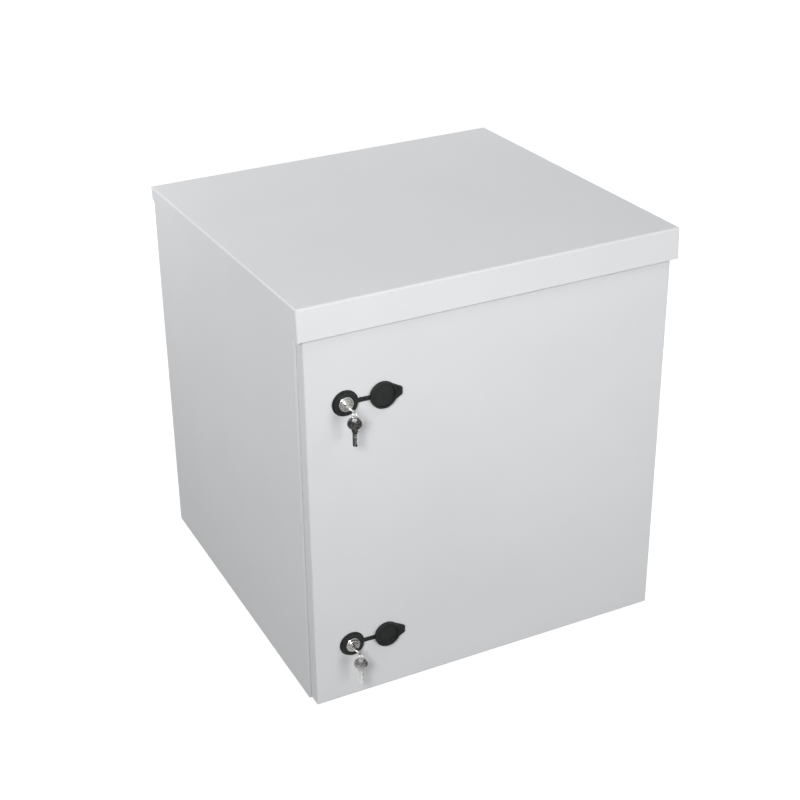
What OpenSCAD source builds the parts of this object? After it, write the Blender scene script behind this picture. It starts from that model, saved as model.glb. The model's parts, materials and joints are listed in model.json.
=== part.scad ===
// Outdoor wall-mounting 19 inch rack cabinet with a sloping roof and a two-lock door.
// Origin at the centre of the body's underside, front towards -Y, up is +Z, millimetres.

/* [Body] */
// Width over the side walls
body_w = 600; // [560:5:800]
// Rack units between the rails
rack_units = 12; // [9:1:18]
// Height left above and below the rack units, together
rack_margin = 96.6; // [94:0.2:110]
// Depth of the folded shell, front rim to back flange
body_d = 576; // [480:1:800]
// Sheet thickness of shell, door and roof
sheet = 1.5; // [1.2:0.1:2]
// Outer radius of the sheet bends
bend = 3; // [2.5:0.5:4]

/* [Front rim] */
// Width of the rim folded inwards round the opening
rim_w = 25; // [24:1:28]
// Height of the sealing edge folded forwards
rim_edge = 12; // [11:0.5:13]

/* [Door] */
// Distance of the door edge inside the side wall
door_inset = 3; // [2:0.5:4]
// Depth of the door tray
door_t = 20; // [20:0.5:24]
// Gap between door tray and rim
door_gap = 4; // [4:0.5:5]
// Width of the second fold at the back of the tray
door_fold = 8; // [5:1:9]
// Distance of each hinge from the end of the door
hinge_in = 100; // [70:5:140]

/* [Roof] */
// Overhang of the roof beyond each side wall
roof_over = 7; // [4:1:12]
// Distance of the roof's top front edge ahead of the door
roof_front = 4; // [3:1:12]
// Height of the front lip
roof_lip = 49; // [40:1:60]
// Fall of the roof towards the back
roof_fall = 27; // [10:1:28]

/* [Locks] */
// Distance of the lock axis from the door's opening edge
lock_in = 60; // [60:1:75]
// Upper lock below the door's top edge
lock_top = 107; // [90:1:160]
// Lower lock above the door's bottom edge
lock_bottom = 96; // [80:1:160]
// Diameter of the weather collar
collar_d = 40; // [38:1:44]
// Distance between collar and open cap
cap_pitch = 58; // [56:1:64]

/* [Rack rails] */
// Distance from the front rim to the front rails
rail_in = 60; // [50:1:90]
// Clear space between the rails and each side wall; 19 inch racks need body_w - 2 * side_space = 503
side_space = 48.5; // [40:0.5:148.5]
// Space kept free behind the rear rails
rear_space = 90; // [60:5:180]

/* [Cable entry] */
// Width of the cut-out in the floor
entry_w = 260; // [210:5:300]
// Depth of the cut-out in the floor
entry_d = 110; // [90:5:130]
// Lap of the gland plate round the cut-out
plate_lap = 20; // [18:1:24]

/* [Hidden] */
$fn = 96;
u = 44.45;
body_h = rack_units * u + rack_margin;
xs = body_w / 2;
yf = -body_d / 2;
yb = body_d / 2;
// opening in the rim
open_w = body_w - 2 * (rim_w + sheet);
open_h = body_h - 2 * (rim_w + sheet);
zm = body_h / 2;
// door planes
door_w = body_w - 2 * door_inset;
yd_back = yf - door_gap;
yd = yd_back - door_t;
door_z0 = 3;
lip_z = body_h - 10;
door_z1 = lip_z - 3;
door_h = door_z1 - door_z0;
door_zm = (door_z0 + door_z1) / 2;
door_r = 2.5;
// roof planes
roof_w = body_w + 2 * roof_over;
yr0 = yd - roof_front;
yr1 = yb - 12;
zr0 = lip_z + roof_lip;
zr1 = zr0 - roof_fall;
roof_a = atan(roof_fall / (yr1 - yr0));
back_lip_z = body_h + 2;
roof_form_h = 2 * (roof_lip + roof_fall + 4);
// hinge axis
hx = door_w / 2 - 6;
hy = yd_back - 5;
hinge_z = [door_z1 - hinge_in, door_z0 + hinge_in];
pin_r = 2.5;
pin_run = 0.05;
lug_gap = 0.5;
// sealing edge and gasket
lip_mid = open_w / 2 + sheet / 2;
lip_mid_z = open_h / 2 + sheet / 2;
gasket_w = 10;
y_edge = yf - rim_edge;
// lock stack, measured from the door face
lx = -door_w / 2 + lock_in;
lock_z = [door_z1 - lock_top, door_z0 + lock_bottom];
collar_r = collar_d / 2;
boss_r = collar_r - 2.4;
skirt_edge = 0.6;
boss_edge = 1;
y_base = yd - 2;
y_boss = yd - 6.3;
head_r = 12;
y_head = yd - 6;
barrel_r = 9.5;
barrel_flat = 16.5;
plug_r = 7;
y_plug = y_head - 0.3;
// bevel of the plug and of the mouth round it
mouth = 0.5;
cam_run = 2.2;
y_cam = yf + sheet + cam_run;
cam_t = 3;
cam_len = lock_in + door_inset - rim_w - sheet + 11;
// weather cap
cap_r = collar_r + 0.5;
cap_edge = 0.8;
cap_x = lx + cap_pitch;
y_cap = yd - 0.3;
cap_t = 6.2;
flip_x = lx + cap_pitch / 2;
flip_y = (y_base - 0.1 + y_cap - cap_t) / 2;
strap_w = 7;
tab_reach = 9.6;
tab_r = 3;
tab_half = 7;
// keys
key_t = 2;
groove_w = 2.2;
groove_deep = 0.4;
key_blade = 23;
key_bow = 37;
key_bow_r = 10.5;
key_hole = 43;
key_hole_r = 3.2;
key_end = key_bow + key_bow_r - key_hole;
key_turn = -45;
y_seat = y_plug - 0.5;
y_hole = y_seat - (key_hole - key_blade);
// ring round the end of the key's bow, upright while the key turns under it
ring_r = 6;
wire_r = 0.7;
ring_run = 0.3;
ring_lift = (key_t / 2 + wire_r + ring_run) / cos(key_turn);
y_ring = y_hole - key_end + 0.1;
spare_drop = key_hole_r - wire_r - 2 * ring_run;
spare_turn = -25;
// rails and their supports
rail_t = 2;
rail_w = 25;
rail_edge = 17.45;
rail_web = xs - sheet - side_space;
rail_x = rail_web - rail_w;
rail_len = rack_units * u + 26;
rail_d = 30;
step = 30;
rail_steps = floor((body_d - rail_in - rail_d - rear_space) / step);
y_rail = yf + rail_in;
y_bolt0 = y_rail + rail_d / 2;
y_bolt1 = y_bolt0 + rail_steps * step;
y_rear = y_bolt1 + rail_d / 2;
sup_h = 40;
sup_z = [zm - rail_len / 2 + 25, zm + rail_len / 2 - 25];
sup_y0 = y_bolt0 - step;
sup_y1 = y_bolt1 + step;
// back panel fixings
fix_x = xs - 75;
fix_z = [80, body_h - 80];
fix_r = 5;
// cable entry in the bottom
entry_back = 83;
entry_y = yb - entry_d / 2 - entry_back;
plate_w = entry_w + 2 * plate_lap;
plate_d = entry_d + 2 * plate_lap;
seal_t = 2;
z_plate = sheet + seal_t;
grommet_step = (entry_w - plate_lap) / 4;
grommet_x = [for (i = [0 : 3]) (i - 1.5) * grommet_step];
grommet_r = 16;
entry_screws = [
  for (i = [-1, 0, 1], j = [-1, 1])
    [i * (entry_w + plate_lap) / 2, j * (entry_d + plate_lap) / 2]
];
// roof carriers
carrier_w = 25;
carrier_in = 100;
carrier_x = xs - carrier_in;
carrier_front = 18;
carrier_back = 26;
carrier_bolt_in = 30;
carrier_y = [yf + carrier_front, yb - carrier_back];
carrier_bolts = [carrier_y[0] + carrier_bolt_in, carrier_y[1] - carrier_bolt_in];

// Rectangle with rounded corners, centred
module rrect(w, h, r) {
  square([w - 2 * r, h], center = true);
  square([w, h - 2 * r], center = true);
  for (i = [-1, 1], j = [-1, 1])
    translate([i * (w / 2 - r), j * (h / 2 - r)])
      circle(r);
}

// Prism along X from a shape drawn as (y, z)
module along_x(l) {
  rotate([90, 0, 90])
    translate([0, 0, -l / 2])
      linear_extrude(l)
        children();
}

// Prism along Y from a shape drawn as (x, z), between y0 and y1
module along_y(y0, y1) {
  translate([0, y1, 0])
    rotate([90, 0, 0])
      linear_extrude(y1 - y0)
        children();
}

// Round bar along Y between y0 and y1 at (x, z)
module rod_y(x, z, y0, y1, r) {
  translate([x, y1, z])
    rotate([90, 0, 0])
      cylinder(r = r, h = y1 - y0);
}

// Half section of a disc of radius r and height h, its front edge rounded by e
module round_step(r, h, e) {
  square([r - e, h]);
  square([r, h - e]);
  translate([r - e, h - e])
    circle(e);
}

// Half section drawn as (radius, height), turned round a line along Y at (x, z) and standing on y
module turned_y(x, y, z) {
  translate([x, y, z])
    rotate([90, 0, 0])
      rotate_extrude()
        children();
}

// Box with all twelve edges bent to radius r
module bent_box(w, d, h, r) {
  intersection() {
    along_x(w)
      rrect(d, h, r);
    along_y(-d / 2, d / 2)
      rrect(w, h, r);
    translate([0, 0, -h / 2])
      linear_extrude(h)
        rrect(w, d, r);
  }
}

// Folded shell: side walls, top and bottom, rim with sealing edge in front, flange behind
module body_shell() {
  color("lightgray")
    difference() {
      union() {
        difference() {
          translate([0, 0, zm])
            bent_box(body_w, body_d, body_h, bend);
          translate([0, 0, zm])
            bent_box(body_w - 2 * sheet, body_d - 2 * sheet, body_h - 2 * sheet, bend - sheet);
        }
        along_y(y_edge, yf + sheet)
          translate([0, zm])
            rrect(open_w + 2 * sheet, open_h + 2 * sheet, bend);
      }
      along_y(y_edge - 1, yf + 2 * sheet)
        translate([0, zm])
          rrect(open_w, open_h, bend - sheet);
      along_y(yb - 2 * sheet, yb + 1)
        translate([0, zm])
          rrect(body_w - 30, body_h - 30, bend);
      translate([-entry_w / 2, entry_y - entry_d / 2, -1])
        cube([entry_w, entry_d, sheet + 2]);
      for (p = entry_screws)
        translate([p[0], entry_y + p[1], -1])
          cylinder(r = 2.6, h = sheet + 2, $fn = 48);
      for (i = [-1, 1], y = carrier_bolts)
        translate([i * (carrier_x + carrier_w / 2), y, body_h - 2 * sheet])
          cylinder(r = 3.3, h = 3 * sheet, $fn = 48);
    }
}

// Back sheet on the shell's rear flange, with the wall fixing holes
module rear_panel() {
  color("gainsboro")
    difference() {
      along_y(yb, yb + sheet)
        translate([0, zm])
          rrect(body_w - 2, body_h - 2, bend);
      for (i = [-1, 1], z = fix_z)
        rod_y(i * fix_x, z, yb - 1, yb + sheet + 1, fix_r);
    }
}

// Flat bar that spreads the wall bolts' load behind the back sheet
module wall_bar(z) {
  color("silver")
    difference() {
      translate([-fix_x - 35, yb - 4, z - 20])
        cube([2 * fix_x + 70, 4, 40]);
      for (i = [-1, 1])
        rod_y(i * fix_x, z, yb - 6, yb + 2, fix_r);
    }
}

module wall_bar_upper() {
  wall_bar(fix_z[1]);
}

module wall_bar_lower() {
  wall_bar(fix_z[0]);
}

// Frame whose y runs down the roof slope from the top front edge
module on_slope() {
  translate([0, yr0, zr0])
    rotate([-roof_a, 0, 0])
      children();
}

// Roof tray folded from one sheet and set on the slope, lips cut level, short lip at the back
module roof_cover() {
  l = (yr1 - yr0) / cos(roof_a);
  color("whitesmoke")
    difference() {
      intersection() {
        on_slope()
          translate([0, l / 2, -roof_form_h / 2])
            difference() {
              bent_box(roof_w, l, roof_form_h, bend);
              bent_box(roof_w - 2 * sheet, l - 2 * sheet, roof_form_h - 2 * sheet, bend - sheet);
            }
        translate([-roof_w, yr0 - roof_form_h, lip_z])
          cube([2 * roof_w, 2 * (l + roof_form_h), roof_form_h]);
      }
      translate([-roof_w / 2 + sheet, yr1 - 8 * sheet, lip_z - 5])
        cube([roof_w - 2 * sheet, 16 * sheet, back_lip_z - lip_z + 5]);
    }
}

// Wedge-shaped channel that carries the roof on the body
module roof_carrier() {
  color("silver")
    difference() {
      union() {
        translate([carrier_x, carrier_y[0], body_h])
          cube([carrier_w, carrier_y[1] - carrier_y[0], sheet]);
        intersection() {
          translate([carrier_x, carrier_y[0], body_h])
            cube([sheet, carrier_y[1] - carrier_y[0], roof_form_h]);
          on_slope()
            translate([carrier_x - carrier_w, 0, -roof_form_h - sheet])
              cube([2 * carrier_w, yr1 - yr0, roof_form_h]);
        }
        on_slope()
          translate([carrier_x, carrier_y[0] - yr0 + 2, -2 * sheet])
            cube([carrier_w, carrier_y[1] - carrier_y[0] - 4, sheet]);
      }
      for (y = carrier_bolts)
        translate([carrier_x + carrier_w / 2, y, body_h - 1])
          cylinder(r = 3.3, h = sheet + 2, $fn = 48);
    }
}

module roof_carrier_right() {
  roof_carrier();
}

module roof_carrier_left() {
  mirror([1, 0, 0])
    roof_carrier();
}

module roof_bolts() {
  color("silver")
    for (i = [-1, 1], y = carrier_bolts)
      translate([i * (carrier_x + carrier_w / 2), y, body_h - sheet]) {
        translate([0, 0, -4])
          cylinder(d = 11.5, h = 4, $fn = 6);
        cylinder(r = 3, h = 9.5, $fn = 48);
      }
}

module roof_nuts() {
  color("silver")
    for (i = [-1, 1], y = carrier_bolts)
      translate([i * (carrier_x + carrier_w / 2), y, body_h + sheet])
        difference() {
          cylinder(d = 11.5, h = 5, $fn = 6);
          translate([0, 0, -1])
            cylinder(r = 3.05, h = 8, $fn = 48);
        }
}

// Removable plate over the cable entry
module gland_plate() {
  color("gainsboro")
    translate([0, entry_y, z_plate])
      linear_extrude(sheet)
        difference() {
          rrect(plate_w, plate_d, 4);
          for (x = grommet_x)
            translate([x, 0])
              circle(grommet_r);
          for (p = entry_screws)
            translate(p)
              circle(2.6, $fn = 48);
        }
}

module gland_seal() {
  color("dimgray")
    translate([0, entry_y, sheet])
      linear_extrude(seal_t)
        difference() {
          rrect(plate_w, plate_d, 4);
          rrect(entry_w + 4, entry_d + 4, 3);
          for (p = entry_screws)
            translate(p)
              circle(2.6, $fn = 48);
        }
}

module gland_screws() {
  color("silver")
    for (p = entry_screws)
      translate([p[0], entry_y + p[1], 0.2]) {
        cylinder(r = 2.5, h = z_plate + sheet - 0.2, $fn = 48);
        translate([0, 0, z_plate + sheet - 0.2])
          difference() {
            cylinder(r = 4.5, h = 3.2, $fn = 48);
            translate([0, 0, 1.4])
              cylinder(d = 4.6, h = 3, $fn = 6);
          }
      }
}

// Rubber entry membranes held in the plate by their groove
module cable_grommets() {
  zt = sheet;
  color("dimgray")
    for (x = grommet_x)
      translate([x, entry_y, z_plate])
        rotate_extrude()
          polygon([
            [0, zt + 9], [4, zt + 9], [10, zt + 3], [grommet_r + 4, zt + 3], [grommet_r + 4, zt],
            [grommet_r - 0.1, zt], [grommet_r - 0.1, 0], [grommet_r + 2.5, 0], [grommet_r + 1, -1.8],
            [grommet_r - 4, -1.8], [grommet_r - 5, 1], [9, 1.2], [3, zt + 6], [0, zt + 6]
          ]);
}

// Hat section on the side wall that carries the rails, with a row of fixing holes
module rail_support(z) {
  wall = xs - sheet;
  color("gainsboro")
    difference() {
      along_y(sup_y0, sup_y1)
        translate([0, z])
          polygon([
            [wall, -sup_h / 2 - 14], [wall - sheet, -sup_h / 2 - 14],
            [wall - sheet, -sup_h / 2], [rail_web, -sup_h / 2], [rail_web, sup_h / 2],
            [wall - sheet, sup_h / 2], [wall - sheet, sup_h / 2 + 14], [wall, sup_h / 2 + 14],
            [wall, sup_h / 2 - sheet], [rail_web + sheet, sup_h / 2 - sheet],
            [rail_web + sheet, -sup_h / 2 + sheet], [wall, -sup_h / 2 + sheet]
          ]);
      for (i = [1 : rail_steps + 1])
        translate([rail_web - 1, sup_y0 + i * step, z])
          rotate([0, 90, 0])
            cylinder(r = 3.3, h = sheet + 2, $fn = 48);
    }
}

module rail_support_upper_right() {
  rail_support(sup_z[1]);
}

module rail_support_lower_right() {
  rail_support(sup_z[0]);
}

module rail_support_upper_left() {
  mirror([1, 0, 0])
    rail_support(sup_z[1]);
}

module rail_support_lower_left() {
  mirror([1, 0, 0])
    rail_support(sup_z[0]);
}

// Angle rail with three square holes to the unit, its face at y = 0 and web behind
module rail() {
  color("silver")
    difference() {
      union() {
        along_y(0, rail_t)
          difference() {
            translate([rail_x, zm - rail_len / 2])
              square([rail_w, rail_len]);
            for (i = [0 : rack_units - 1], h = [6.35, 22.225, 38.1])
              translate([rail_web - rail_edge, zm - rack_units * u / 2 + i * u + h])
                square(9.5, center = true);
          }
        translate([rail_web - rail_t, 0, zm - rail_len / 2])
          cube([rail_t, rail_d, rail_len]);
      }
      for (z = sup_z)
        translate([rail_web - rail_t - 1, rail_d / 2, z])
          rotate([0, 90, 0])
            cylinder(r = 3.3, h = rail_t + 2, $fn = 48);
    }
}

module rail_front_right() {
  translate([0, y_rail, 0])
    rail();
}

module rail_front_left() {
  mirror([1, 0, 0])
    translate([0, y_rail, 0])
      rail();
}

module rail_rear_right() {
  translate([0, y_rear, 0])
    mirror([0, 1, 0])
      rail();
}

module rail_rear_left() {
  mirror([1, 0, 0])
    translate([0, y_rear, 0])
      mirror([0, 1, 0])
        rail();
}

module rail_bolts() {
  color("silver")
    for (i = [0, 1], y = [y_bolt0, y_bolt1], z = sup_z)
      mirror([i, 0, 0])
        translate([rail_web - rail_t, y, z])
          rotate([0, 90, 0]) {
            translate([0, 0, -4])
              cylinder(d = 11.5, h = 4, $fn = 6);
            cylinder(r = 3, h = 12, $fn = 48);
          }
}

module rail_nuts() {
  color("silver")
    for (i = [0, 1], y = [y_bolt0, y_bolt1], z = sup_z)
      mirror([i, 0, 0])
        translate([rail_web + sheet, y, z])
          rotate([0, 90, 0])
            difference() {
              cylinder(d = 11.5, h = 5, $fn = 6);
              translate([0, 0, -1])
                cylinder(r = 3.05, h = 8, $fn = 48);
            }
}

// Earth stud welded to the floor of the body
module earth_stud() {
  color("goldenrod")
    translate([-xs + 60, yb - 80, sheet]) {
      cylinder(r = 7, h = 1.5, $fn = 48);
      cylinder(r = 3, h = 22, $fn = 48);
    }
}

module earth_nut() {
  color("goldenrod")
    translate([-xs + 60, yb - 80, sheet + 1.5])
      difference() {
        cylinder(d = 11.5, h = 5, $fn = 6);
        translate([0, 0, -1])
          cylinder(r = 3.05, h = 8, $fn = 48);
      }
}

// Goose-neck bracket in the rim channel: foot, leg, arm and knuckle round the pin
module hinge_bracket(z) {
  foot_x = open_w / 2 + sheet + 0.5;
  color("gray")
    translate([0, 0, z - 10])
      difference() {
        union() {
          translate([foot_x, yf - 2, 0])
            cube([hx - 8.4 - foot_x, 2, 20]);
          translate([hx - 11.5, hy - 3, 0])
            cube([3.1, yf - hy + 3, 20]);
          translate([hx - 11.5, hy - 3, 0])
            cube([11.5, 4.5, 20]);
          translate([hx, hy, 0])
            cylinder(r = 4, h = 20);
        }
        translate([hx, hy, -1])
          cylinder(r = pin_r + pin_run, h = 22);
      }
}

module hinge_bracket_upper() {
  hinge_bracket(hinge_z[0]);
}

module hinge_bracket_lower() {
  hinge_bracket(hinge_z[1]);
}

// Headed hinge pin
module hinge_pin(z) {
  color("silver")
    translate([hx, hy, z]) {
      translate([0, 0, -26])
        cylinder(r = pin_r, h = 50.5);
      translate([0, 0, 24.5])
        cylinder(r = 3.6, h = 1.8);
    }
}

module hinge_pin_upper() {
  hinge_pin(hinge_z[0]);
}

module hinge_pin_lower() {
  hinge_pin(hinge_z[1]);
}

// Solid form of the door tray at distance o in from the outer skin, open towards the body
module tray_form(o, r, back) {
  d = back - yd - o;
  intersection() {
    along_x(door_w - 2 * o)
      translate([yd + o + d, door_zm])
        rrect(2 * d, door_h - 2 * o, r);
    translate([0, yd + o + d, door_z0 - 1])
      linear_extrude(door_h + 2)
        rrect(door_w - 2 * o, 2 * d, r);
    along_y(yd + o, back)
      translate([0, door_zm])
        rrect(door_w - 2 * o, door_h - 2 * o, r);
  }
}

// Door folded as a tray: face, four returns and a second fold, lock holes, hinge notches
module door_panel() {
  color("gainsboro")
    difference() {
      tray_form(0, door_r, yd_back);
      tray_form(sheet, door_r - sheet, yd_back - sheet);
      along_y(yd_back - 2 * sheet, yd_back + 1)
        translate([0, door_zm])
          rrect(door_w - 2 * (sheet + door_fold), door_h - 2 * (sheet + door_fold), 2);
      for (z = hinge_z)
        translate([door_w / 2 - sheet - door_fold - 2, yd_back - 2 * sheet, z - 32])
          cube([door_fold + 2, 3 * sheet, 64]);
      for (z = lock_z)
        intersection() {
          rod_y(lx, z, yd - 1, yd + 3 * sheet, barrel_r + 0.3);
          translate([lx - 15, yd - 2, z - barrel_flat / 2 - 0.3])
            cube([30, 5 * sheet, barrel_flat + 0.6]);
        }
    }
}

// Foam strip on the door face that meets the sealing edge, centred at (x, z)
module gasket_strip(x, z, w, h) {
  color("dimgray")
    translate([x - w / 2, yd + sheet, z - h / 2])
      cube([w, y_edge - yd - sheet, h]);
}

module door_gasket_top() {
  gasket_strip(0, zm + lip_mid_z, 2 * lip_mid + gasket_w, gasket_w);
}

module door_gasket_bottom() {
  gasket_strip(0, zm - lip_mid_z, 2 * lip_mid + gasket_w, gasket_w);
}

// Side strips butt between the top and bottom strips
module door_gasket_left() {
  gasket_strip(-lip_mid, zm, gasket_w, 2 * lip_mid_z - gasket_w);
}

module door_gasket_right() {
  gasket_strip(lip_mid, zm, gasket_w, 2 * lip_mid_z - gasket_w);
}

// Pair of lugs welded to the door's return, above and below the bracket's knuckle
module hinge_lugs(z) {
  color("gray")
    for (z0 = [z - 24, z + 10.3])
      translate([0, 0, z0])
        difference() {
          union() {
            translate([hx - 4, yd + door_r + lug_gap, 0])
              cube([door_w / 2 - sheet - hx + 4, hy - yd - door_r - lug_gap, 13.7]);
            translate([hx, hy, 0])
              cylinder(r = 4, h = 13.7);
          }
          translate([hx, hy, -1])
            cylinder(r = pin_r + pin_run, h = 16);
        }
}

module hinge_lugs_upper() {
  hinge_lugs(hinge_z[0]);
}

module hinge_lugs_lower() {
  hinge_lugs(hinge_z[1]);
}

module door_earth_stud() {
  color("goldenrod")
    translate([0, 0, door_z0 + 60]) {
      rod_y(hx - 70, 0, yd + sheet, yd + sheet + 1.5, 7);
      rod_y(hx - 70, 0, yd + sheet, yd + sheet + 16, 3);
    }
}

// Cam lock housing: bevelled head on the collar, flatted barrel through the door
module lock_housing(z) {
  color("silver")
    difference() {
      union() {
        rod_y(lx, z, y_head + 1, yd - 1, head_r);
        translate([lx, y_head + 1, z])
          rotate([90, 0, 0])
            cylinder(r1 = head_r, r2 = head_r - 1, h = 1);
        intersection() {
          rod_y(lx, z, yd - 1, y_cam - 0.5, barrel_r);
          translate([lx - 15, yd - 2, z - barrel_flat / 2])
            cube([30, 60, barrel_flat]);
        }
      }
      rod_y(lx, z, y_head - 1, y_cam + 1, plug_r + 0.05);
      translate([lx, y_head + mouth, z])
        rotate([90, 0, 0])
          cylinder(r1 = plug_r + 0.05, r2 = plug_r + 0.05 + 2 * mouth, h = 2 * mouth);
    }
}

// Hexagon nut that clamps the housing to the door sheet
module lock_nut(z) {
  color("silver")
    difference() {
      translate([lx, yd + sheet + 5, z])
        rotate([90, 0, 0])
          cylinder(d = 27.5, h = 5, $fn = 6);
      rod_y(lx, z, yd, yd + 20, barrel_r + 0.05);
    }
}

// Weather collar under the lock head, with its half of the strap
module collar(z) {
  color("black")
    difference() {
      union() {
        turned_y(lx, yd, z) {
          round_step(collar_r, yd - y_base, skirt_edge);
          round_step(boss_r, yd - y_boss, boss_edge);
        }
        translate([lx + boss_r - boss_edge, y_base, z - strap_w / 2])
          cube([flip_x - 0.2 - lx - boss_r + boss_edge, yd - y_base, strap_w]);
      }
      rod_y(lx, z, y_boss - 1, yd - 1, head_r + 0.3);
      rod_y(lx, z, yd - 2, yd + 1, barrel_r + 0.3);
    }
}

// Turning plug with keyway, squared tail for the cam
module plug(z) {
  color("silver")
    difference() {
      union() {
        rod_y(lx, z, y_plug + mouth, y_cam, plug_r);
        translate([lx, y_plug + mouth, z])
          rotate([90, 0, 0])
            cylinder(r1 = plug_r, r2 = plug_r - mouth, h = mouth);
        translate([lx - 4, y_cam - 1, z - 4])
          cube([8, cam_t + 0.9, 8]);
      }
      translate([lx, y_plug - 1, z])
        rotate([0, key_turn, 0])
          translate([-1.15, 0, -3.9])
            cube([2.3, key_blade + 2, 7.8]);
      rod_y(lx, z, y_cam - 4, y_cam + 10, 1.95);
    }
}

// Locking cam, upright while unlocked, behind the rim when turned
module cam(z) {
  color("silver")
    along_y(y_cam, y_cam + cam_t)
      translate([lx, z])
        difference() {
          union() {
            circle(10);
            translate([-8, 0])
              square([16, cam_len - 8]);
            translate([0, cam_len - 8])
              circle(8);
          }
          square(8.1, center = true);
        }
}

module cam_screw(z) {
  color("silver")
    union() {
      rod_y(lx, z, y_cam - 3.5, y_cam + cam_t, 1.9);
      rod_y(lx, z, y_cam + cam_t, y_cam + cam_t + 3, 5.2);
    }
}

// Outline of a flat key drawn along x: tip at 0, cut blade, shoulder, round bow with hole
module key_outline() {
  difference() {
    union() {
      translate([2, -3.5])
        square([key_blade - 2, 7]);
      polygon([[0, -1.2], [2, -3.5], [2, 3.5], [0, 1.6]]);
      translate([key_blade - 0.01, -4.6])
        square([6, 9.2]);
      translate([key_bow, 0])
        circle(key_bow_r);
    }
    for (c = [[5, 1.4], [8.5, 2], [12, 1.1], [15.5, 1.8], [19, 1.3]])
      translate([c[0], 3.6])
        polygon([[-1.9, 0.2], [-0.5, -c[1]], [0.5, -c[1]], [1.9, 0.2]]);
    translate([key_hole, 0])
      circle(key_hole_r, $fn = 48);
  }
}

// Flat key with a groove milled along each face of the blade
module key_form() {
  difference() {
    linear_extrude(key_t)
      key_outline();
    for (h = [-1, key_t - groove_deep])
      translate([-1, -1.5, h])
        cube([key_blade - 1, groove_w, 1 + groove_deep]);
  }
}

// Key standing in the plug, its flat in the keyway
module key_in(z) {
  color("silver")
    translate([lx, y_seat + key_blade, z])
      rotate([0, key_turn, 0])
        translate([key_t / 2, 0, 0])
          rotate([90, 0, -90])
            key_form();
}

// Ring through the key's hole, hanging round the end of its bow
module key_ring(z) {
  color("silver")
    translate([lx, y_ring, z + ring_lift - ring_r])
      rotate([0, 90, 0])
        rotate_extrude($fn = 72)
          translate([ring_r, 0])
            circle(wire_r, $fn = 24);
}

// Second key hanging from the ring, tip down
module spare_key(z) {
  color("silver")
    translate([lx, y_ring, z + ring_lift - 2 * ring_r - spare_drop])
      rotate([0, 0, spare_turn])
        rotate([90, 0, 0])
          translate([0, -key_hole, -key_t / 2])
            rotate([0, 0, 90])
              key_form();
}

// Lifting tab with flanks that run out of the cap's edge, end corners rounded
module tab_outline() {
  end_x = cap_r + tab_reach;
  // flank from the cap's edge at 53 degrees to the corner's circle
  px = (cap_r - 0.5) * cos(53);
  py = (cap_r - 0.5) * sin(53);
  cx = end_x - tab_r;
  cy = tab_half - tab_r;
  lean = atan((py - cy) / (cx - px)) - asin(tab_r / sqrt(pow(cx - px, 2) + pow(py - cy, 2)));
  tx = cx + tab_r * sin(lean);
  ty = cy + tab_r * cos(lean);
  polygon([[px, -py], [tx, -ty], [tx, ty], [px, py]]);
  for (j = [-1, 1])
    translate([cx, j * cy])
      circle(tab_r);
  translate([cx - tab_r, -cy])
    square([2 * tab_r, 2 * cy]);
}

// Weather cap flipped open beside the collar, with rim, strap half and lifting tab
module cap(z) {
  color("black")
    difference() {
      union() {
        turned_y(cap_x, y_cap, z)
          round_step(cap_r, cap_t, cap_edge);
        translate([flip_x + 0.2, y_cap - 1.9, z - strap_w / 2])
          cube([cap_x - cap_r + 2 - flip_x, 1.9, strap_w]);
        along_y(y_cap - 3, y_cap)
          translate([cap_x, z])
            tab_outline();
      }
      rod_y(cap_x, z, y_cap - cap_t - 1, y_cap - 1.7, boss_r + 0.4);
    }
}

module upper_lock_housing() { lock_housing(lock_z[0]); }
module upper_lock_nut() { lock_nut(lock_z[0]); }
module upper_collar() { collar(lock_z[0]); }
module upper_plug() { plug(lock_z[0]); }
module upper_cam() { cam(lock_z[0]); }
module upper_cam_screw() { cam_screw(lock_z[0]); }
module upper_key() { key_in(lock_z[0]); }
module upper_cap() { cap(lock_z[0]); }
module upper_key_ring() { key_ring(lock_z[0]); }
module upper_spare_key() { spare_key(lock_z[0]); }

module lower_lock_housing() { lock_housing(lock_z[1]); }
module lower_lock_nut() { lock_nut(lock_z[1]); }
module lower_collar() { collar(lock_z[1]); }
module lower_plug() { plug(lock_z[1]); }
module lower_cam() { cam(lock_z[1]); }
module lower_cam_screw() { cam_screw(lock_z[1]); }
module lower_key() { key_in(lock_z[1]); }
module lower_cap() { cap(lock_z[1]); }
module lower_key_ring() { key_ring(lock_z[1]); }
module lower_spare_key() { spare_key(lock_z[1]); }

body_shell();
rear_panel();
wall_bar_upper();
wall_bar_lower();
roof_cover();
roof_carrier_left();
roof_carrier_right();
roof_bolts();
roof_nuts();
gland_plate();
gland_seal();
gland_screws();
cable_grommets();
rail_support_upper_left();
rail_support_lower_left();
rail_support_upper_right();
rail_support_lower_right();
rail_front_left();
rail_front_right();
rail_rear_left();
rail_rear_right();
rail_bolts();
rail_nuts();
earth_stud();
earth_nut();
hinge_bracket_upper();
hinge_bracket_lower();
hinge_pin_upper();
hinge_pin_lower();
door_panel();
door_gasket_top();
door_gasket_bottom();
door_gasket_left();
door_gasket_right();
hinge_lugs_upper();
hinge_lugs_lower();
door_earth_stud();
upper_lock_housing();
upper_lock_nut();
upper_collar();
upper_plug();
upper_cam();
upper_cam_screw();
upper_key();
upper_cap();
upper_key_ring();
upper_spare_key();
lower_lock_housing();
lower_lock_nut();
lower_collar();
lower_plug();
lower_cam();
lower_cam_screw();
lower_key();
lower_cap();
lower_key_ring();
lower_spare_key();
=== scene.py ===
"""Looks of a light grey rack cabinet: powder-coated sheet, zinc and nickel fittings, black weather caps.

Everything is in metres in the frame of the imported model: x to the right, the door faces -y, z up.
"""
import json
import math

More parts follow.
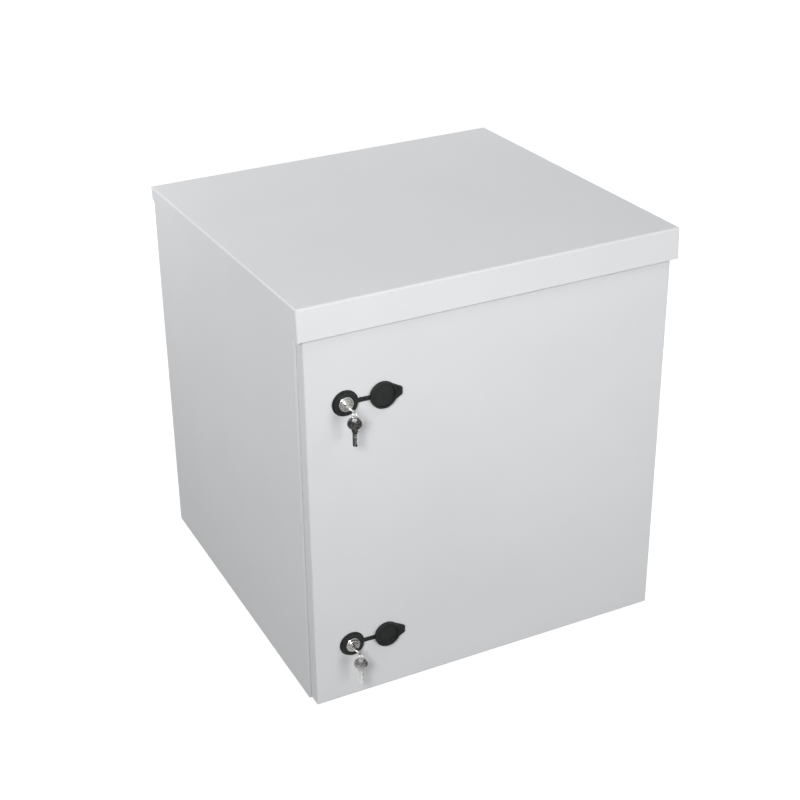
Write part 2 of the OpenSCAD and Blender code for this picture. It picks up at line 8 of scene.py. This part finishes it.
import bmesh
import bpy
import numpy as np
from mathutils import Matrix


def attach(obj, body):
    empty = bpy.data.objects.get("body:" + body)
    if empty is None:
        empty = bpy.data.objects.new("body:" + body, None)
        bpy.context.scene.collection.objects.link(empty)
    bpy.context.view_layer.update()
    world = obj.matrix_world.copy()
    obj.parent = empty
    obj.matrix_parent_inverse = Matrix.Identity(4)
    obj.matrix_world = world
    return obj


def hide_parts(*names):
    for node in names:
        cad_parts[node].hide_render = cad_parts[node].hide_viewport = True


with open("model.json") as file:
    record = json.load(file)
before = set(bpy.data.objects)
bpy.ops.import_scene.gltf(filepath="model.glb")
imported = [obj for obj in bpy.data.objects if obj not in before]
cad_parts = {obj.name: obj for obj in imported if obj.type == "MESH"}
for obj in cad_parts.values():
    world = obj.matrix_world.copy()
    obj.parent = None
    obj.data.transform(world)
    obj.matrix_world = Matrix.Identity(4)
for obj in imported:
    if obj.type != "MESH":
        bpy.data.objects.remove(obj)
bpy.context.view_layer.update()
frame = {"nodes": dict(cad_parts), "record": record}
scene = bpy.context.scene

MM = 0.001

# Finishes

NOISE_LOW = 0.3  # noise mostly lies between these two
NOISE_HIGH = 0.7


def node_tree(name):
    """A new material, its nodes and links, and its shader node."""
    mat = bpy.data.materials.new(name)
    mat.use_nodes = True
    return mat, mat.node_tree.nodes, mat.node_tree.links, mat.node_tree.nodes["Principled BSDF"]


def object_coords(nodes, links, scale=(1, 1, 1)):
    """Object coordinates stretched by scale, so a pattern keeps its place on the piece."""
    coords = nodes.new("ShaderNodeTexCoord")
    mapping = nodes.new("ShaderNodeMapping")
    mapping.inputs["Scale"].default_value = scale
    links.new(coords.outputs["Object"], mapping.inputs["Vector"])
    return mapping.outputs["Vector"]


def noise(nodes, links, vector, scale, detail=3.0):
    """Noise of `scale` blobs to the metre."""
    tex = nodes.new("ShaderNodeTexNoise")
    tex.inputs["Scale"].default_value = scale
    tex.inputs["Detail"].default_value = detail
    tex.inputs["Roughness"].default_value = 0.55
    links.new(vector, tex.inputs["Vector"])
    return tex.outputs["Fac"]


def between(nodes, links, fac, low, high, start=NOISE_LOW, end=NOISE_HIGH):
    """Maps fac from start..end to low..high."""
    ramp = nodes.new("ShaderNodeMapRange")
    ramp.inputs["From Min"].default_value = start
    ramp.inputs["From Max"].default_value = end
    ramp.inputs["To Min"].default_value = low
    ramp.inputs["To Max"].default_value = high
    links.new(fac, ramp.inputs["Value"])
    return ramp.outputs["Result"]


def tint(nodes, links, fac, colour, dark, light):
    """The colour times dark to the colour times light, as fac goes over the range of noise."""
    ramp = nodes.new("ShaderNodeValToRGB")
    low, high = ramp.color_ramp.elements
    low.position = NOISE_LOW
    low.color = (*(c * dark for c in colour), 1)
    high.position = NOISE_HIGH
    high.color = (*(c * light for c in colour), 1)
    links.new(fac, ramp.inputs["Fac"])
    return ramp.outputs["Color"]


def bump(nodes, links, height, depth, normal=None):
    """Bump of `depth` metres, over another bump where one is given."""
    node = nodes.new("ShaderNodeBump")
    node.inputs["Strength"].default_value = 1.0
    node.inputs["Distance"].default_value = depth
    links.new(height, node.inputs["Height"])
    if normal is not None:
        links.new(normal, node.inputs["Normal"])
    return node.outputs["Normal"]


def powder_coat(name, colour):
    """Satin powder coat: faint cloudiness, orange peel, slow waves of thin sheet."""
    mat, nodes, links, bsdf = node_tree(name)
    where = object_coords(nodes, links)
    cloud = noise(nodes, links, where, scale=7.0, detail=4.0)
    links.new(tint(nodes, links, cloud, colour, dark=0.988, light=1.012), bsdf.inputs["Base Color"])
    peel = noise(nodes, links, where, scale=620.0, detail=2.0)
    links.new(between(nodes, links, peel, low=0.36, high=0.50), bsdf.inputs["Roughness"])
    wave = noise(nodes, links, where, scale=3.0, detail=1.0)
    sheet = bump(nodes, links, wave, depth=0.8 * MM)
    links.new(bump(nodes, links, peel, depth=0.02 * MM, normal=sheet), bsdf.inputs["Normal"])
    bsdf.inputs["Specular IOR Level"].default_value = 0.30
    return mat


def zinc(name, colour):
    """Zinc-plated steel: cloudy passivation, drawn grain along the sheet."""
    mat, nodes, links, bsdf = node_tree(name)
    bsdf.inputs["Metallic"].default_value = 1.0
    cloud = noise(nodes, links, object_coords(nodes, links), scale=38.0, detail=5.0)
    links.new(tint(nodes, links, cloud, colour, dark=0.86, light=1.06), bsdf.inputs["Base Color"])
    links.new(between(nodes, links, cloud, low=0.30, high=0.46), bsdf.inputs["Roughness"])
    drawn = object_coords(nodes, links, scale=(1, 1, 0.04))
    grain = noise(nodes, links, drawn, scale=900.0, detail=2.0)
    links.new(bump(nodes, links, grain, depth=0.01 * MM), bsdf.inputs["Normal"])
    return mat


def nickel(name, colour):
    """Nickel plate on die casting and keys: fine handling scratches, dull patches."""
    mat, nodes, links, bsdf = node_tree(name)
    bsdf.inputs["Metallic"].default_value = 1.0
    patches = noise(nodes, links, object_coords(nodes, links), scale=260.0, detail=4.0)
    links.new(tint(nodes, links, patches, colour, dark=0.90, light=1.03), bsdf.inputs["Base Color"])
    links.new(between(nodes, links, patches, low=0.16, high=0.30), bsdf.inputs["Roughness"])
    rubbed = object_coords(nodes, links, scale=(1, 0.15, 1))
    scratches = noise(nodes, links, rubbed, scale=2600.0, detail=2.0)
    links.new(bump(nodes, links, scratches, depth=0.02 * MM), bsdf.inputs["Normal"])
    return mat


def moulded_black(name, colour):
    """Black moulded plastic with a spark-eroded skin."""
    mat, nodes, links, bsdf = node_tree(name)
    where = object_coords(nodes, links)
    pigment = noise(nodes, links, where, scale=120.0)
    links.new(tint(nodes, links, pigment, colour, dark=0.85, light=1.25), bsdf.inputs["Base Color"])
    skin = noise(nodes, links, where, scale=1900.0)
    links.new(between(nodes, links, skin, low=0.42, high=0.58), bsdf.inputs["Roughness"])
    links.new(bump(nodes, links, skin, depth=0.03 * MM), bsdf.inputs["Normal"])
    bsdf.inputs["Specular IOR Level"].default_value = 0.20
    return mat


def foam_rubber(name, colour):
    """Closed-cell foam and soft rubber: pores, chalky bloom."""
    mat, nodes, links, bsdf = node_tree(name)
    where = object_coords(nodes, links)
    bloom = noise(nodes, links, where, scale=60.0, detail=5.0)
    links.new(tint(nodes, links, bloom, colour, dark=0.8, light=1.3), bsdf.inputs["Base Color"])
    cells = nodes.new("ShaderNodeTexVoronoi")
    cells.inputs["Scale"].default_value = 1100.0
    links.new(where, cells.inputs["Vector"])
    pores = cells.outputs["Distance"]
    links.new(between(nodes, links, pores, low=0.72, high=0.92, start=0.0, end=0.6), bsdf.inputs["Roughness"])
    links.new(bump(nodes, links, pores, depth=0.25 * MM), bsdf.inputs["Normal"])
    return mat


FINISHES = {
    "paint_light_grey": powder_coat("satin_powder_coat", (0.70, 0.71, 0.722)),
    "zinc_steel": zinc("zinc_plate", (0.62, 0.63, 0.64)),
    "bright_nickel": nickel("nickel_plate", (0.62, 0.615, 0.60)),
    "black_plastic": moulded_black("black_moulding", (0.016, 0.017, 0.017)),
    "seal_rubber": foam_rubber("foam_rubber", (0.045, 0.045, 0.046)),
}

slot_of = {part["node"]: part["material_slot"] for part in frame["record"]["subparts"]}
for node_name, node_obj in frame["nodes"].items():
    for slot in node_obj.material_slots:
        slot.material = FINISHES[slot_of[node_name]]

# Lock pieces, worked out in millimetres

MERGE = 0.002  # joins the points of a pole
EASE = 0.05  # from an arc's end to the next point on the flat
SINK = 0.05  # keeps a strap or tab from lying flush with the face that it grows from

DOOR_Y = -312.0  # front face of the door
LOCK_X = -237.0
LOCK_HEIGHTS = {"upper": 510.0, "lower": 99.0}

COLLAR_R = 20.0
COLLAR_H = 2.0
COLLAR_FLOOR = 1.0  # under the lock head
COLLAR_HOLE_R = 9.8
BOSS_R = 17.6
BOSS_H = 6.3
BOSS_BORE_R = 12.3
COLLAR_EDGES = [0.05, 0.1, 0.9, 0.6, 1.2, 0.5, 0.05, 0.05]  # radii, from the hole's rear edge outwards

CAP_X = -179.0
CAP_OFF = 0.3  # gap between the open cap and the door
CAP_R = 20.5
CAP_H = 6.2
CAP_BORE_R = 18.0
CAP_FLOOR = 1.7
CAP_EDGES = [0, 0.8, 0.9, 0.7, 1.0, 0]  # radii, from the rear face's middle outwards

FOLD_X = -208.0  # where the strap folds
FOLD_GAP = 0.2
COLLAR_STRAP_R = 17.0  # where the strap starts inside the collar
CAP_STRAP_R = 18.5  # and inside the cup's wall
CAP_STRAP_H = 1.9
STRAP_HALF = 3.5
STRAP_CORNER = 0.7
STRAP_EDGE = 0.5

TAB_SPAN = math.radians(53)  # half the angle that the lifting tab takes of the cup
TAB_SEAT = 2.2  # how deep it sits in the cup's wall
TAB_ROOT = 0.5
TAB_REACH = 9.6
TAB_HALF = 5.75
TAB_CORNER = 3.0
TAB_H = 3.0
TAB_EDGE = 0.8

BLADE_END = 30.0  # places along the key are from its tip
BLADE_HALF = 3.5
BLADE_THICK = 1.96
TIP_END = 2.0
TIP_LOW = -1.2
TIP_HIGH = 1.6
SHOULDER_START = 22.9
SHOULDER_FULL = 23.1
SHOULDER_HALF = 4.6
CUTS = np.array([(5, 1.4), (8.5, 2), (12, 1.1), (15.5, 1.8), (19, 1.3)])  # place and depth
CUT_TOP = 1.74  # half widths of a cut
CUT_BOTTOM = 0.5
GROOVE_MID = -0.4
GROOVE_DEPTH = 0.42
GROOVE_SLOPE = 1.3  # of its sides
GROOVE_HALF = 1.6 / GROOVE_SLOPE
GROOVE_END = 22.0
GROOVE_RUN_OUT = 1.25
BOW_AT = 37.0
BOW_R = 10.5
BOW_THICK = 2.0
BOW_EDGE = 0.35
BOW_HOLE_AT = 43.0
BOW_HOLE_R = 3.2

KEY_TIP_Y = -295.8
KEY_LEAN = math.radians(-45)
KEY_SET = [(0, -1, 0), (math.sin(KEY_LEAN), 0, math.cos(KEY_LEAN)),
           (math.cos(KEY_LEAN), 0, -math.sin(KEY_LEAN))]  # its directions along, across and through
SPARE_DROP = 54.07  # from the lock's line to the hanging key's tip
SPARE_TURN = math.radians(-25)
SPARE_SET = [(0, 0, 1), (math.cos(SPARE_TURN), math.sin(SPARE_TURN), 0),
             (math.sin(SPARE_TURN), -math.cos(SPARE_TURN), 0)]

RING_Y = -343.2
RING_DROP = 3.17
RING_R = 6.0
RING_STEP = 0.34  # each turn's distance from the ring's middle plane
RING_END = 26  # degrees that each end of the wire stops short
RING_CROSS = 22  # degrees of the cross-over, on each side
WIRE_THICK = 0.31  # half sizes
WIRE_DEEP = 0.62
WIRE_EDGE = 0.2


def rounded(corners, radii, steps=6, closed=True):
    """Outline through the corners, each cut by an arc of its radius tangent to both sides; a point just
    before and after each arc keeps the flats flat. An open outline keeps its two end corners as they are."""
    corners = np.array(corners, float)
    r = np.array(radii, float)[:, None]
    to_last = np.roll(corners, 1, 0) - corners
    to_next = np.roll(corners, -1, 0) - corners
    to_last /= np.linalg.norm(to_last, axis=1, keepdims=True)
    to_next /= np.linalg.norm(to_next, axis=1, keepdims=True)
    half = 0.5 * np.arccos(np.clip((to_last * to_next).sum(1, keepdims=True), -1, 1))
    run = r / np.tan(half)
    middle = to_last + to_next
    centre = corners + middle / np.linalg.norm(middle, axis=1, keepdims=True) * r / np.sin(half)
    sweep = (np.pi - 2 * half)[:, None]
    t = np.linspace(0, 1, steps)[None, :, None]
    start = (corners + to_last * run - centre)[:, None]
    end = (corners + to_next * run - centre)[:, None]
    arc = (np.sin((1 - t) * sweep) * start + np.sin(t * sweep) * end) / np.sin(sweep) + centre[:, None]
    before = (corners + to_last * (run + EASE))[:, None]
    after = (corners + to_next * (run + EASE))[:, None]
    points = np.concatenate([before, arc, after], axis=1)
    if closed:
        return points.reshape(-1, 2)
    return np.concatenate([corners[:1], points[1:-1].reshape(-1, 2), corners[-1:]])


def plate_edge(edge, low, high, steps=5):
    """Side of a plate with a quarter circle at both faces, from the low face to the high one: how far each
    point lies in from the side, and its level. The first and last point lie on the flat of a face."""
    a = np.linspace(0, np.pi / 2, steps)
    inward = np.concatenate([[edge + EASE], edge * (1 - np.sin(a))])
    rise = np.concatenate([[0], edge * (1 - np.cos(a))])
    return np.concatenate([inward, inward[::-1]]), np.concatenate([low + rise, high - rise[::-1]])


def closed_ends(grid):
    """The grid with a row added at each end, drawn to the middle of the row beside it."""
    first, last = grid[0].mean(0), grid[-1].mean(0)
    return np.concatenate([first + 0 * grid[:1], grid, last + 0 * grid[:1]])


def lathe(profile, x, z, turns=96):
    """The profile (radius, y) turned round a line along y through (x, z)."""
    angle = np.linspace(0, 2 * np.pi, turns, endpoint=False)[:, None]
    radius, y = profile[None, :, 0], profile[None, :, 1]
    return np.stack([x + radius * np.cos(angle), y + 0 * angle, z + radius * np.sin(angle)], axis=-1)


def strap(x0, x1, z, y0, y1):
    """Flat strap along x: rounded rectangles drawn in along a quarter circle at both faces, closed to their
    middle."""
    inset, level = plate_edge(STRAP_EDGE, y0, y1)
    z0, z1 = z - STRAP_HALF, z + STRAP_HALF
    rings = np.array([rounded([(x0 + i, z0 + i), (x1 - i, z0 + i), (x1 - i, z1 - i), (x0 + i, z1 - i)],
                              [STRAP_CORNER - i] * 4) for i in inset[1:-1]])
    middle = 0 * rings[:1] + rings[0].mean(0)
    first, last = middle + 0.8 * (rings[:1] - middle), middle + 0.8 * (rings[-1:] - middle)
    flat = np.concatenate([middle, first, rings, last, middle])
    y = np.concatenate([[y0], level, [y1]])[:, None] + 0 * flat[..., 0]
    return np.stack([flat[..., 0], y, flat[..., 1]], axis=-1)


def lifting_tab(x, z, y0, y1, steps=81):
    """Tab between an arc inside the cup's wall and its own outline, both run over by the same steps: the
    section at each step crosses both faces, with a rounded outer edge."""
    angle = np.linspace(-TAB_SPAN, TAB_SPAN, steps)
    inner = (CAP_R - TAB_SEAT) * np.stack([np.cos(angle), np.sin(angle)], axis=1)
    root = (CAP_R - TAB_ROOT) * np.array([math.cos(TAB_SPAN), math.sin(TAB_SPAN)])
    end = np.array([CAP_R + TAB_REACH, TAB_HALF])
    corners = [root * (1, -1), end * (1, -1), end, root]
    outline = rounded(corners, [0, TAB_CORNER, TAB_CORNER, 0], closed=False)
    run = np.concatenate([[0], np.cumsum(np.linalg.norm(np.diff(outline, axis=0), axis=1))])
    at = np.linspace(0, run[-1], steps)
    outer = np.stack([np.interp(at, run, outline[:, k]) for k in (0, 1)], axis=1)
    along = np.gradient(outer, axis=0)
    outward = np.stack([along[:, 1], -along[:, 0]], axis=1) / np.linalg.norm(along, axis=1, keepdims=True)
    inset, level = plate_edge(TAB_EDGE, y0, y1)
    edges = outer[:, None] - inset[None, :, None] * outward[:, None]
    flat = np.concatenate([inner[:, None], edges, inner[:, None]], axis=1)
    y = np.concatenate([[y0], level, [y1]]) + 0 * flat[..., 0]
    return closed_ends(np.stack([x + flat[..., 0], y, z + flat[..., 1]], axis=-1))


def key_bow(turns=96):
    """Round bow with an off-centre hole: at each angle the section runs from the outer circle over both faces
    to the hole's circle, with rounded edges. Drawn as (along, across, through)."""
    angle = np.linspace(0, 2 * np.pi, turns, endpoint=False)[None]
    inset, level = plate_edge(BOW_EDGE, -BOW_THICK / 2, BOW_THICK / 2)
    radius = np.concatenate([BOW_R - inset, (BOW_HOLE_R + inset)[::-1]])[:, None]
    centre = np.concatenate([BOW_AT + 0 * inset, BOW_HOLE_AT + 0 * inset])[:, None]
    through = np.concatenate([level, level[::-1]])[:, None] + 0 * angle
    return np.stack([centre + radius * np.cos(angle), radius * np.sin(angle), through], axis=-1)


def key_blade(rows=260):
    """Cut blade and shoulder: a rounded flat section between the straight lower edge and the notched upper
    edge, with a groove milled along each face. Drawn as (along, across, through) from the tip."""
    along = np.linspace(0, BLADE_END, rows)
    tip_at, shoulder_at = [0, TIP_END], [SHOULDER_START, SHOULDER_FULL, BLADE_END]
    shoulder = np.array([BLADE_HALF, SHOULDER_HALF, SHOULDER_HALF])
    low = np.interp(along, tip_at + shoulder_at, [TIP_LOW, -BLADE_HALF, *-shoulder])
    notch_at = (CUTS[:, :1] + np.array([-CUT_TOP, -CUT_BOTTOM, CUT_BOTTOM, CUT_TOP])).ravel()
    notch = (BLADE_HALF - CUTS[:, 1:] * np.array([0, 1, 1, 0])).ravel()
    high = np.interp(along, np.concatenate([tip_at, notch_at, shoulder_at]),
                     np.concatenate([[TIP_HIGH, BLADE_HALF], notch, shoulder]))
    corner = rounded([(0, -1), (1, -1), (1, 1), (0, 1)], [0.12] * 4, steps=4).reshape(4, -1, 2)
    flats = np.linspace(0.2, 0.8, 13)
    rear = np.stack([flats, 0 * flats - 1], axis=1)
    front = np.stack([flats[::-1], 0 * flats + 1], axis=1)
    section = np.concatenate([corner[0], rear, corner[1], corner[2], front, corner[3]])
    share, side = section[None, :, 0], section[None, :, 1]
    across = low[:, None] + share * (high - low)[:, None]
    groove = np.clip((GROOVE_HALF - np.abs(across - GROOVE_MID)) * GROOVE_SLOPE, 0, 1)
    run_out = np.clip((GROOVE_END - along) / GROOVE_RUN_OUT, 0, 1)[:, None]
    through = side * (BLADE_THICK / 2 - np.abs(side) * GROOVE_DEPTH * groove * run_out)
    return closed_ends(np.stack([along[:, None] + 0 * across, across, through], axis=-1))


def split_ring(x, y, z):
    """Two-turn coil of flat wire round a line along x: the turns lie side by side and cross over in a short
    ramp where the two ends stop short."""
    degrees = np.linspace(RING_END, 720 - RING_END, 240)[:, None]
    angle = np.radians(degrees)
    ramp = np.clip((degrees - 360 + RING_CROSS) / (2 * RING_CROSS), 0, 1)
    side = RING_STEP * (2 * ramp * ramp * (3 - 2 * ramp) - 1)
    section = rounded([(-WIRE_THICK, -WIRE_DEEP), (WIRE_THICK, -WIRE_DEEP), (WIRE_THICK, WIRE_DEEP),
                       (-WIRE_THICK, WIRE_DEEP)], [WIRE_EDGE] * 4, steps=4)[None]
    reach = RING_R + section[..., 1]
    across = x + side + section[..., 0]
    return closed_ends(np.stack([across, y - reach * np.cos(angle), z + reach * np.sin(angle)], axis=-1))


def lock_piece(name, grids, slot, body, node):
    """One piece of closed grids, in metres: each shell turned outwards, poles merged, smooth, on its body."""
    points, faces, count = [], [], 0
    for grid, rows_close, cols_close in grids:
        rows, cols = grid.shape[:2]
        row_steps = np.arange(rows if rows_close else rows - 1)
        col_steps = np.arange(cols if cols_close else cols - 1)
        i, j = np.meshgrid(row_steps, col_steps, indexing="ij")
        i1, j1 = (i + 1) % rows, (j + 1) % cols
        quads = np.stack([i * cols + j, i * cols + j1, i1 * cols + j1, i1 * cols + j], axis=-1).reshape(-1, 4)
        flat = grid.reshape(-1, 3) * MM
        a, b, c, d = (flat[quads[:, k]] - flat.mean(0) for k in range(4))
        if (a * (np.cross(b, c) + np.cross(c, d))).sum() < 0:
            quads = quads[:, ::-1]
        points.append(flat)
        faces.append(quads + count)
        count += len(flat)
    mesh = bpy.data.meshes.new(name)
    mesh.from_pydata(np.concatenate(points).tolist(), [], np.concatenate(faces).tolist())
    work = bmesh.new()
    work.from_mesh(mesh)
    bmesh.ops.remove_doubles(work, verts=work.verts, dist=MERGE * MM)
    work.to_mesh(mesh)
    work.free()
    mesh.shade_smooth()
    mesh.materials.append(FINISHES[slot])
    obj = bpy.data.objects.new(name, mesh)
    scene.collection.objects.link(obj)
    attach(obj, body)
    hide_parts(node)


def weather_collar(side, z):
    """Flange, boss and bore turned as one, with its half of the strap."""
    y = DOOR_Y
    profile = rounded([(COLLAR_HOLE_R, y), (COLLAR_R, y), (COLLAR_R, y - COLLAR_H), (BOSS_R, y - COLLAR_H),
                       (BOSS_R, y - BOSS_H), (BOSS_BORE_R, y - BOSS_H), (BOSS_BORE_R, y - COLLAR_FLOOR),
                       (COLLAR_HOLE_R, y - COLLAR_FLOOR)], COLLAR_EDGES)
    collar = lathe(profile, LOCK_X, z)
    half_strap = strap(LOCK_X + COLLAR_STRAP_R, FOLD_X - FOLD_GAP, z, y - COLLAR_H + SINK, y)
    lock_piece(side + "_weather_collar", [(collar, True, True), (half_strap, False, True)],
               "black_plastic", "door", side + "_collar")


def weather_cap(side, z):
    """Cup turned as one, seen from inside, with its half of the strap and the lifting tab."""
    y = DOOR_Y - CAP_OFF
    profile = rounded([(0, y), (CAP_R, y), (CAP_R, y - CAP_H), (CAP_BORE_R, y - CAP_H),
                       (CAP_BORE_R, y - CAP_FLOOR), (0, y - CAP_FLOOR)], CAP_EDGES, closed=False)
    cup = lathe(profile, CAP_X, z)
    half_strap = strap(FOLD_X + FOLD_GAP, CAP_X - CAP_STRAP_R, z, y - CAP_STRAP_H, y - SINK)
    tab = lifting_tab(CAP_X, z, y - TAB_H, y - SINK)
    lock_piece(side + "_weather_cap", [(cup, True, False), (half_strap, False, True), (tab, False, True)],
               "black_plastic", side + "_lock_cap", side + "_cap")


def lock_key(name, body, node, tip, directions):
    """Flat key: bow with its hole, shoulder and cut blade, set on its three directions from its tip."""
    bow = np.array(tip) + key_bow() @ np.array(directions)
    blade = np.array(tip) + key_blade() @ np.array(directions)
    lock_piece(name, [(bow, True, True), (blade, False, True)], "bright_nickel", body, node)


for side, z in LOCK_HEIGHTS.items():
    weather_collar(side, z)
    weather_cap(side, z)
    lock_key(side + "_key_in_lock", side + "_lock_plug", side + "_key", (LOCK_X, KEY_TIP_Y, z), KEY_SET)
    lock_key(side + "_key_hanging", side + "_spare", side + "_spare_key", (LOCK_X, RING_Y, z - SPARE_DROP),
             SPARE_SET)
    lock_piece(side + "_split_ring", [(split_ring(LOCK_X, RING_Y, z - RING_DROP), False, True)],
               "bright_nickel", side + "_ring", side + "_key_ring")

# Floor, light and camera

FLOOR_HALF = 14.0
FLOOR_DROP = 0.5 * MM
FLOOR_GREY = 0.14
SURROUND = 0.17  # strength of the surround as light
CARD = [(-1.10, -1.70), (0.18, -1.70), (0.18, -0.418), (-1.10, -0.418)]
CARD_Z = 0.01
CAMERA_PLACE = (-1.0578, -2.1576, 1.6050)
CAMERA_TURN = (61.602, 0.562, -26.449)  # degrees
CAMERA_LENS = 74.549


def white_to_the_eye(nodes, links, else_value, seen_value):
    """Socket that is seen_value for camera, glossy and transmission rays, and else_value for the rest."""
    path = nodes.new("ShaderNodeLightPath")
    seen = path.outputs["Is Camera Ray"]
    for kind in ("Is Glossy Ray", "Is Transmission Ray"):
        either = nodes.new("ShaderNodeMath")
        either.operation = "MAXIMUM"
        links.new(seen, either.inputs[0])
        links.new(path.outputs[kind], either.inputs[1])
        seen = either.outputs[0]
    return between(nodes, links, seen, else_value, seen_value, start=0.0, end=1.0)


def stage_sheet(name, corners, mat):
    """Flat sheet through four corners that isn't part of the object."""
    mesh = bpy.data.meshes.new(name)
    mesh.from_pydata(corners, [], [(0, 1, 2, 3)])
    mesh.materials.append(mat)
    obj = bpy.data.objects.new(name, mesh)
    scene.collection.objects.link(obj)
    return obj


def pale_floor():
    """Floor that looks white to the eye and in reflections, and keeps the shadow."""
    mat, nodes, links, bsdf = node_tree("studio_floor")
    bsdf.inputs["Base Color"].default_value = (FLOOR_GREY, FLOOR_GREY, FLOOR_GREY, 1)
    bsdf.inputs["Roughness"].default_value = 0.9
    bsdf.inputs["Specular IOR Level"].default_value = 0.1
    bsdf.inputs["Emission Color"].default_value = (1, 1, 1, 1)
    glow = white_to_the_eye(nodes, links, 0.0, 1.0 - SURROUND * FLOOR_GREY)
    links.new(glow, bsdf.inputs["Emission Strength"])
    signs = [(-1, -1), (1, -1), (1, 1), (-1, 1)]
    stage_sheet("studio_floor", [(x * FLOOR_HALF, y * FLOOR_HALF, -FLOOR_DROP) for x, y in signs], mat)


def dark_card():
    """Black card low in front on the left, seen by reflections alone; it gives bright metal its dark side."""
    mat, _, _, bsdf = node_tree("black_card")
    bsdf.inputs["Base Color"].default_value = (0.02, 0.02, 0.02, 1)
    bsdf.inputs["Roughness"].default_value = 1.0
    bsdf.inputs["Specular IOR Level"].default_value = 0.0
    card = stage_sheet("black_card", [(x, y, CARD_Z) for x, y in CARD], mat)
    card.visible_camera = card.visible_diffuse = card.visible_shadow = card.visible_transmission = False


def soft_box(name, place, target, size, power, gloss=True):
    """Square area light at place, aimed at target, itself unseen, with or without a glint on glossy faces."""
    light = bpy.data.lights.new(name, "AREA")
    light.size = size
    light.energy = power
    obj = bpy.data.objects.new(name, light)
    obj.location = place
    aim = np.array(target) - np.array(place)
    pitch = math.atan2(math.hypot(aim[0], aim[1]), -aim[2])
    obj.rotation_euler = (pitch, 0, math.atan2(-aim[0], aim[1]))
    obj.visible_camera = False
    obj.visible_glossy = gloss
    scene.collection.objects.link(obj)


def surround_light():
    """Even pale surround, white to the eye and in reflections."""
    world = bpy.data.worlds.new("studio")
    world.use_nodes = True
    nodes, links = world.node_tree.nodes, world.node_tree.links
    links.new(white_to_the_eye(nodes, links, SURROUND, 1.0), nodes["Background"].inputs["Strength"])
    nodes["Background"].inputs["Color"].default_value = (1, 1, 1, 1)
    scene.world = world


def photo_camera():
    """Camera fitted to the outline of roof, door and side in the photograph."""
    data = bpy.data.cameras.new("photo_camera")
    data.sensor_width = 36.0
    data.lens = CAMERA_LENS
    data.clip_end = 60.0
    obj = bpy.data.objects.new("photo_camera", data)
    obj.location = CAMERA_PLACE
    obj.rotation_euler = [math.radians(a) for a in CAMERA_TURN]
    scene.collection.objects.link(obj)
    scene.camera = obj


pale_floor()
dark_card()
surround_light()
soft_box("front_left_softbox", (-1.40, -1.87, 1.66), (0, -0.3, 0.35), 0.6, 39.0)
soft_box("front_fill", (0.40, -1.89, 0.60), (0, -0.2, 0.4), 0.8, 9.9)
soft_box("rear_left_softbox", (-1.02, 0.61, 1.08), (-0.2, 0.1, 0.45), 0.5, 5.7)
soft_box("rear_right_softbox", (0.60, 1.04, 1.30), (0, 0, 0.5), 0.8, 5.7, gloss=False)
soft_box("top_softbox", (0.60, -0.90, 2.05), (-0.1, -0.1, 0.4), 0.7, 5.9, gloss=False)
soft_box("right_fill", (1.90, 0.12, 0.32), (0.3, 0.0, 0.32), 0.6, 18.5, gloss=False)
soft_box("back_fill", (0.10, 1.90, 0.27), (0.0, 0.3, 0.32), 0.5, 12.0, gloss=False)
photo_camera()
scene.view_settings.view_transform = "Standard"
